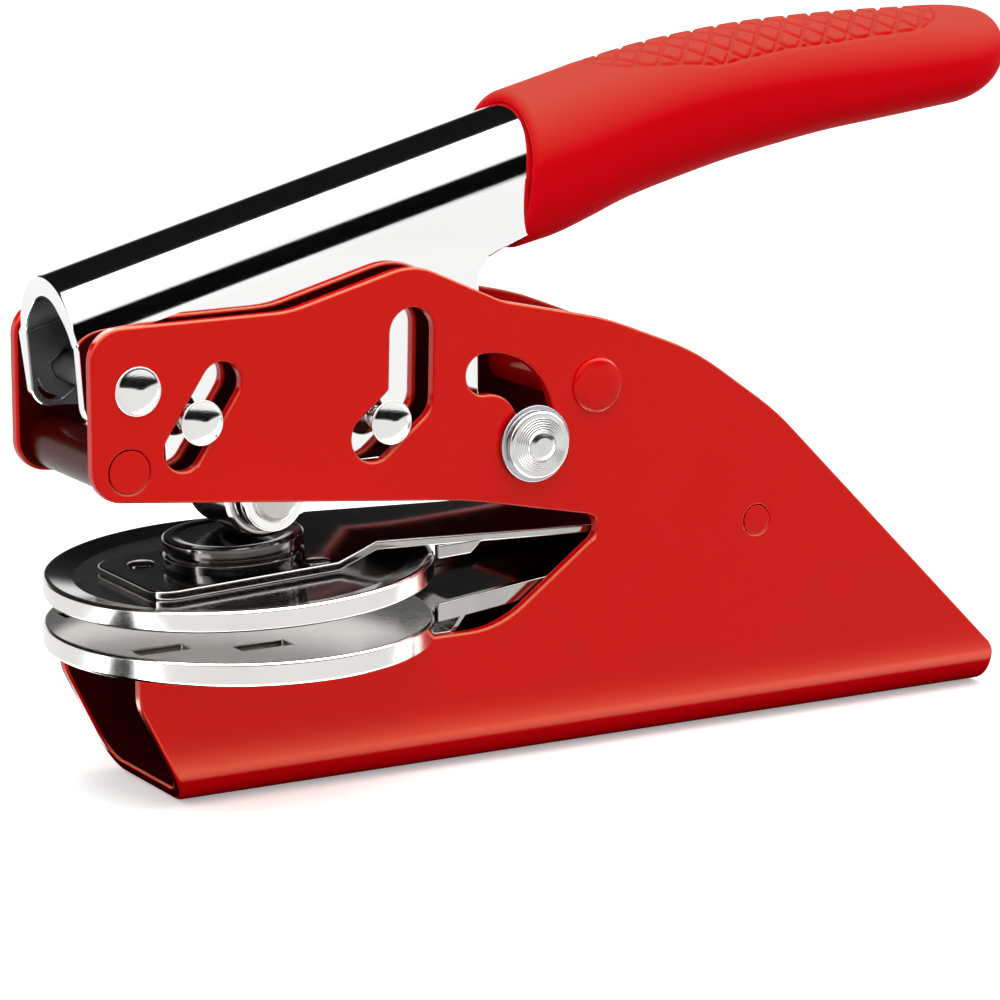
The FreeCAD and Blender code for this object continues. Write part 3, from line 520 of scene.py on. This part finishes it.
# distances from the middle plane: the plates' outer faces, the part of the pivot inside the
# lever, and the stud's ends; and the radius where the upper disc's rim begins
OUTER_FACE, PIN_INSIDE, STUD_ENDS, DISC_RIM = 12.5, 12.0, 14.0, 25.05
# places (x, z) of the cross pins
PIVOT, FRONT_GUIDE, REAR_GUIDE = (-19.7, 54.6), (-11.0, 49.8), (15.9, 47.2)
REAR_TIE, ROLLER, STUD = (46.6, 49.2), (1.0, 38.0), (36.906, 42.398)


def across(x, z):
    """The place of a piece turned round an axis along Y."""
    return Matrix.Translation((x * MM, 0, z * MM)) @ TO_Y


def both_ends(half):
    """A whole pin's profile from the profile of its far half."""
    return [(r, -h, *rest) for r, h, *rest in reversed(half)] + half


HEAD_RISE, HEAD_SIDE, HEAD_REACH, HEAD_STEPS, SIDE_ROUND = 1.25, 0.2, 0.93, 16, 0.15
# a head's slope in degrees grows to FACE_TILT over its middle, and by RIM_TILT towards its rim
FACE_TILT, FACE_SPAN, RIM_TILT, RIM_SPAN = 12, 0.2, 17, 0.7


def dome(radius, base):
    """A head's profile from its shoulder to the axis: a turned face that steepens to its rim."""
    reach, edge = radius * HEAD_REACH, []
    height, last = 0.0, 0.0
    for step in range(HEAD_STEPS + 1):
        share = step / HEAD_STEPS
        tilt = (FACE_TILT * min(share / FACE_SPAN, 1)
                + RIM_TILT * max(0.0, share - FACE_SPAN) / RIM_SPAN)
        height -= math.tan(math.radians(tilt)) * (share - last) * reach
        edge.append((share * reach, height))
        last = share
    scale = (HEAD_RISE - HEAD_SIDE) / -height
    top = base + HEAD_RISE
    return [(radius, base), (radius, base + HEAD_SIDE, SIDE_ROUND)] + [
        (r, top + h * scale) for r, h in reversed(edge)]


def headed_pin(node, place, shank, head=2.9, gap=0.08):
    """A pin through both plates, with a head a gap outside each."""
    half = [(shank, OUTER_FACE + gap)] + dome(head, OUTER_FACE + gap)
    lathe(node + "_turned", both_ends(half), node, across(*place))
    finish(node + "_turned", TURNED_STEEL)


headed_pin("pivot_pin", PIVOT, 2.0, head=3.15, gap=0.0)
headed_pin("front_guide_pin", FRONT_GUIDE, 1.5)
headed_pin("rear_guide_pin", REAR_GUIDE, 1.3)
# inside the lever the pin is darker, a painted shade, and dull
finish_part("pivot_pin_turned", SHADED_INNER_STEEL,
            lambda face: abs(face.center.z) < PIN_INSIDE * MM)

# profiles (radius, height, corner radius), in mm
rear_tie = [(3.2, 10.67), (2.0, 10.67), (2.0, 12.5), (3.65, 12.5), (3.65, 12.85, 0.15),
            (3.3, 13.15, 0.3), (2.2, 13.33, 0.5), (0, 13.4)]
lathe("rear_tie_rivet_turned", both_ends(rear_tie), "rear_tie_rivet", across(*REAR_TIE))
axle = [(1.9, 8.75), (3.0, 8.75), (3.0, 9.3, 0.2), (2.3, 9.55, 0.3), (0, 9.5)]
lathe("roller_axle_turned", both_ends(axle), "roller_axle", across(*ROLLER))
finish("roller_axle_turned", ROLLER_STEEL)
sleeve = [(5.6, 5.4, 0.5), (5.1, 6.0, 0.2), (4.6, 6.0, 0.1), (4.45, 5.85), (4.3, 6.0), (3.0, 6.0)]
lathe("roller_turned", both_ends(sleeve), "roller", across(*ROLLER), LARGE)
finish("roller_turned", ROLLER_STEEL)

upper_disc = [(0, -0.75), (21.5, -0.75, 0.6), (24.6, -0.02, 0.4), (25.1, 0, 0.2),
              (25.4, -0.3, 0.2), (25.4, -2.45, 0.2), (25.1, -2.75), (24.2, -2.75),
              (24.2, -1.65), (0, -1.65)]
lathe("upper_die_disc_turned", upper_disc, "upper_die_disc", DIE, LARGEST, DIE_SHARP)
finish_part("upper_die_disc_turned", SATIN,
            lambda face: math.hypot(*face.center[:2]) > DISC_RIM * MM)
base = [(0, 0.45), (9.2, 0.45), (9.2, 1.6, 0.15), (8.7, 2.0, 0.05), (0, 2.0)]
lathe("button_base_turned", base, "button_base", BUTTON, MEDIUM, DIE_SHARP)
button = [(0, 2.0), (8.7, 2.0), (9.2, 2.4, 0.1), (9.2, 3.8, 0.15), (8.95, 4.0, 0.15),
          (7.9, 4.0, 0.3), (6.9, 3.85, 0.5), (0, 3.85)]
lathe("pressure_button_turned", button, "pressure_button", BUTTON, MEDIUM, DIE_SHARP)

stud = [(1.9, 12.58), (5.1, 12.58), (5.1, 13.38, 0.15), (1.9, 13.38), (1.9, 15.12, 0.1),
        (1.2, 15.42, 0.6), (0, 15.53)]
lathe("lock_stud_turned", both_ends(stud), "lock_stud", across(*STUD))
finish("lock_stud_turned", STUD_STEEL)
# its ends stand in the knobs' faces and look like them
finish_part("lock_stud_turned", KNOB_STEEL,
            lambda face: abs(face.center.z) > STUD_ENDS * MM)

# a knob's face is turned in rings, each with three corners, that rise towards the middle
FACE_EDGE, FACE_HEIGHT, RING_COUNT, RING_PITCH, RING_RISE = 3.75, 14.55, 6, 0.3, 0.27
RING, RING_ROUND = [(0.0, 0.0), (-0.08, -0.06), (-0.16, 0.04)], 0.03
knob = [(1.95, 13.38), (4.1, 13.38), (4.5, 13.7, 0.25), (4.5, 14.3, 0.2), (4.2, 14.55, 0.2)]
for ring in range(RING_COUNT):
    inward = ring * RING_PITCH
    at, lift = FACE_EDGE - inward, FACE_HEIGHT + inward * RING_RISE
    knob += [(at + r, lift + h, RING_ROUND) for r, h in RING]
knob += [(2.02, 15.1), (1.95, 15.1)]
for node, sign in (("lock_knob_near", -1), ("lock_knob_far", 1)):
    profile = [(r, sign * h, *rest) for r, h, *rest in knob]
    lathe(node + "_turned", profile, node, across(*STUD), MEDIUM)
    finish(node + "_turned", KNOB_STEEL)

# ---------------------------------------------------------------- rubber grip
# lengths in mm; TOP_LINE and LOW_LINE are (x, z), and FIELD is (x, half width round the back)
GRIP_FRONT, DOME_START, GRIP_END = 37.6, 106.6, 116.1
GRIP_HALF, LIP, SOCKET_END = 10.5, 0.8, 50.0
TOP_LINE = [(37.6, 87.0), (48.2, 89.3), (54.4, 90.7), (62.2, 92.3), (70.1, 93.4), (78.0, 94.2),
            (86.1, 94.6), (94.3, 94.8), (102.6, 94.8), (109.0, 94.8), (120.0, 94.7)]
LOW_LINE = [(37.6, 66.6), (40.0, 67.1), (44.0, 68.0), (48.3, 69.5), (54.5, 71.9), (62.3, 74.1),
            (70.3, 76.1), (78.3, 77.7), (86.4, 79.1), (94.6, 80.1), (103.0, 81.1), (109.0, 81.8),
            (120.0, 83.0)]
FIELD = [(51.4, 0.0), (53.0, 3.0), (55.3, 5.1), (58.3, 6.3), (62.0, 7.6), (65.0, 8.4),
         (67.5, 9.2), (72.0, 9.1), (80.0, 8.7), (87.0, 8.6), (92.2, 8.2), (98.2, 7.8),
         (102.0, 7.0), (105.2, 4.4), (107.0, 0.0)]
DIAMOND_LONG, DIAMOND_ACROSS, GROOVE_HALF, GROOVE_DEPTH = 3.8, 4.6, 0.45, 0.42
FIELD_FADE, BORDER_SHARE = 0.7, 0.8
# the arch of the back, less high from ARCH_TURN on, and the roundness of the underside
BACK_ARCH, ARCH_LESS, ARCH_TURN, ARCH_SPAN, ARCH_MOST, UNDERSIDE = 9.6, 1.4, 40.0, 30.0, 0.55, 0.62
# the domed end's middle, and how its half width and its rise above and below the middle shrink
DOME_MIDDLE, DOME_POWERS = 89.2, (0.5, 0.22, 0.95)
FRONT_LEAN, LEAN_SPAN = 0.1, 14.0
BACK_STEPS, LOW_STEPS, SOCKET_STEPS, LIP_STEPS, SKIN_STEPS, DOME_STEPS = 150, 56, 14, 10, 380, 30


def along(line, x):
    """The height of a smooth line through points at x."""
    index = 0
    while index < len(line) - 2 and x > line[index + 1][0]:
        index += 1
    one, two = Vector(line[index]), Vector(line[index + 1])
    before, after = Vector(line[max(index - 1, 0)]), Vector(line[min(index + 2, len(line) - 1)])
    run = two.x - one.x
    share = min(max((x - one.x) / run, 0.0), 1.0)
    leave = (two.y - before.y) / (two.x - before.x) * run
    arrive = (after.y - one.y) / (after.x - one.x) * run
    blend = share * share * (3 - 2 * share)
    return (one.y * (1 - blend) + two.y * blend + leave * share * (1 - share) ** 2
            - arrive * share * share * (1 - share))


def smooth(value):
    """A value held between 0 and 1, and eased at both."""
    value = min(max(value, 0.0), 1.0)
    return value * value * (3 - 2 * value)


def groove(x, reach):
    """How deep the diamond grooves cut at a place on the grip's back, in mm."""
    if not FIELD[0][0] < x < FIELD[-1][0]:
        return 0.0
    within = along(FIELD, x) - abs(reach)
    inside = smooth(within / FIELD_FADE)
    if not inside:
        return 0.0
    period = 1 / math.hypot(1 / DIAMOND_LONG, 1 / DIAMOND_ACROSS)
    cut = 0.0
    for sign in (1, -1):
        line = x / DIAMOND_LONG + sign * reach / DIAMOND_ACROSS
        cut = max(cut, smooth(1 - abs(line - round(line)) * period / GROOVE_HALF))
    border = smooth(1 - abs(within - GROOVE_HALF) / GROOVE_HALF)
    return max(cut * inside, border * BORDER_SHARE) * GROOVE_DEPTH


def section(x, scale=(1.0, 1.0, 1.0), inset=0.0, cut=False):
    """One closed loop of the sleeve: an arch over straight sides, with a rounded underside."""
    top, low = along(TOP_LINE, x), along(LOW_LINE, x)
    centre = DOME_MIDDLE if x > DOME_START else (top + low) / 2
    across_scale, up_scale, down_scale = scale
    top = centre + (top - centre) * up_scale - inset
    low = centre + (low - centre) * down_scale + inset
    half = GRIP_HALF * across_scale - inset
    arch = (BACK_ARCH - ARCH_LESS * smooth((x - ARCH_TURN) / ARCH_SPAN)) * up_scale - inset
    arch = min(arch, (top - low) * ARCH_MOST)
    waist = top - arch
    loop = []
    for step in range(BACK_STEPS):
        turn = math.pi * (step / (BACK_STEPS - 1) - 0.5)
        depth = groove(x, turn * (half + arch) / 2) if cut else 0.0
        loop.append(Vector((x, (half - depth) * math.sin(turn),
                            waist + (arch - depth) * math.cos(turn))))
    for step in range(1, LOW_STEPS):
        turn = math.pi * step / LOW_STEPS
        y = half * math.copysign(abs(math.cos(turn)) ** UNDERSIDE, math.cos(turn))
        loop.append(Vector((x, y, waist - (waist - low) * math.sin(turn) ** UNDERSIDE)))
    lean = FRONT_LEAN * max(0.0, 1 - (x - GRIP_FRONT) / LEAN_SPAN)
    for point in loop:
        point.x += (point.z - low) * lean
    return loop


def grip_loops():
    """The sleeve's loops: socket, rounded lip, skin with the diamond field, and domed end."""
    lip_end = GRIP_FRONT + LIP
    for step in range(SOCKET_STEPS):
        share = step / (SOCKET_STEPS - 1)
        yield section(SOCKET_END - (SOCKET_END - lip_end) * share, inset=2 * LIP)
    for step in range(1, LIP_STEPS):
        turn = math.pi * step / LIP_STEPS
        yield section(lip_end - LIP * math.sin(turn), inset=LIP * (1 + math.cos(turn)))
    for step in range(SKIN_STEPS):
        yield section(lip_end + (DOME_START - lip_end) * step / (SKIN_STEPS - 1), cut=True)
    for step in range(1, DOME_STEPS):
        turn = math.pi / 2 * step / DOME_STEPS
        yield section(DOME_START + (GRIP_END - DOME_START) * math.sin(turn),
                      [math.cos(turn) ** power for power in DOME_POWERS])


def build_grip():
    """The rubber sleeve, with a flat bottom to its socket and a closed end."""
    shape = bmesh.new()
    rows = [[shape.verts.new(point * MM) for point in loop] for loop in grip_loops()]
    count = len(rows[0])
    for one, two in zip(rows, rows[1:]):
        for k in range(count):
            shape.faces.new((one[k], one[(k + 1) % count], two[(k + 1) % count], two[k]))
    for row in (rows[0], rows[-1]):
        hub = shape.verts.new(sum((v.co for v in row), Vector()) / count)
        if row is rows[-1]:
            hub.co.x = GRIP_END * MM
        for k in range(count):
            shape.faces.new((row[k], row[(k + 1) % count], hub))
    bmesh.ops.recalc_face_normals(shape, faces=shape.faces)
    mesh = bpy.data.meshes.new("grip_sleeve")
    shape.to_mesh(mesh)
    shape.free()
    shade(mesh, GRIP_SHARP)
    settle(bpy.data.objects.new("grip_sleeve", mesh), "handle_grip")


build_grip()

# ---------------------------------------------------------------- floor
FLOOR_HALF, FLOOR_DROP = 6, 0.2 * MM
FLOOR_GREY, FLOOR_GLOW, BOUNCED_GREY = 0.92, 0.3, 0.26
corners = [(x * FLOOR_HALF, y * FLOOR_HALF, 0) for x, y in ((-1, -1), (1, -1), (1, 1), (-1, 1))]
floor_mesh = bpy.data.meshes.new("floor")
floor_mesh.from_pydata(corners, [], [(0, 1, 2, 3)])
floor = bpy.data.objects.new("floor", floor_mesh)
floor.location.z = -FLOOR_DROP
bpy.context.scene.collection.objects.link(floor)
pale = Nodes("pale_floor")
pale.constant(Base_Color=grey(FLOOR_GREY), Roughness=0.9, Emission_Color=grey(1),
              Emission_Strength=FLOOR_GLOW)
bounced = pale.add("ShaderNodeBsdfDiffuse")
bounced.inputs["Color"].default_value = grey(BOUNCED_GREY)
floor_mesh.materials.append(pale.material)
# painted reflection: for mirror rays alone the floor glows, by distance in mm from the object's
# middle plane, with a painted shadow under the object, a bright glow along its sides, and plain
# further out
FLOOR_BANDS = [(0.0, 0.0), (15.0, 0.0), (16.5, 3.6), (18.5, 5.0), (21.0, 6.0), (26.0, 6.0),
               (30.0, 3.6), (33.5, 2.1), (36.5, 1.4), (41.0, 1.0), (60.0, 1.0)]
FLOOR_PEAK, FLOOR_SPAN = 6.0, 60.0
aside = pale.reckon("ABSOLUTE", pale.split(pale.place)["Y"])
mirrored = pale.banded_light("ShaderNodeEmission", pale.spread(aside, 0, 1, 0, FLOOR_SPAN * MM),
                             FLOOR_BANDS, FLOOR_SPAN, FLOOR_PEAK)
seen = pale.by_ray("Is Camera Ray", pale.shader.outputs[0], bounced.outputs[0])
pale.link(pale.by_ray("Is Glossy Ray", mirrored, seen),
          pale.tree.nodes["Material Output"].inputs["Surface"])

# ---------------------------------------------------------------- light
LAMP_PLACE, LAMP_AIM = Vector((0.05, -0.1, 0.9)), Vector((0.04, 0.0, 0.03))
LAMP_SIZE, LAMP_POWER = 0.9, 5.0
overhead = bpy.data.lights.new("overhead", "AREA")
overhead.shape = "RECTANGLE"
overhead.size = overhead.size_y = LAMP_SIZE
overhead.energy = LAMP_POWER
overhead.cycles.is_caustics_light = False
lamp = bpy.data.objects.new("overhead", overhead)
bpy.context.scene.collection.objects.link(lamp)
lamp.location = LAMP_PLACE
lamp.rotation_mode = "QUATERNION"
lamp.rotation_quaternion = (LAMP_AIM - LAMP_PLACE).to_track_quat("-Z", "Y")
lamp.visible_glossy = False

world = bpy.data.worlds.new("studio")
bpy.context.scene.world = world
world.use_nodes = True
world.node_tree.nodes.clear()
studio = Tree(world.node_tree)
# what a mirror sees of the studio, at degrees round the X axis: 0 is level on the near side,
# 90 is overhead and 180 is level on the far side
BANDS = [(0, 1.05), (6, 1.05), (8, 0.0), (36, 0.0), (39, 1.05), (60, 1.2), (66, 6.0), (93, 6.0),
         (98, 0.015), (104, 0.005), (150, 0.005), (160, 0.02), (166, 0.02), (171, 1.05),
         (180, 1.05)]
BRIGHTEST, PLAIN, HALF_TURN = 6.0, 1.12, 180
axes = studio.split(studio.add("ShaderNodeTexCoord").outputs["Generated"])
turn = studio.reckon("ARCTAN2", axes["Z"], studio.reckon("MULTIPLY", axes["Y"], -1.0))
bands = studio.banded_light("ShaderNodeBackground", studio.reckon("MULTIPLY", turn, 1 / math.pi),
                            BANDS, HALF_TURN, BRIGHTEST)
plain, white = studio.add("ShaderNodeBackground"), studio.add("ShaderNodeBackground")
plain.inputs["Color"].default_value = white.inputs["Color"].default_value = grey(1)
plain.inputs["Strength"].default_value = PLAIN
unseen = studio.by_ray("Is Glossy Ray", bands, plain.outputs[0])
studio.link(studio.by_ray("Is Camera Ray", white.outputs[0], unseen),
            studio.add("ShaderNodeOutputWorld").inputs[0])
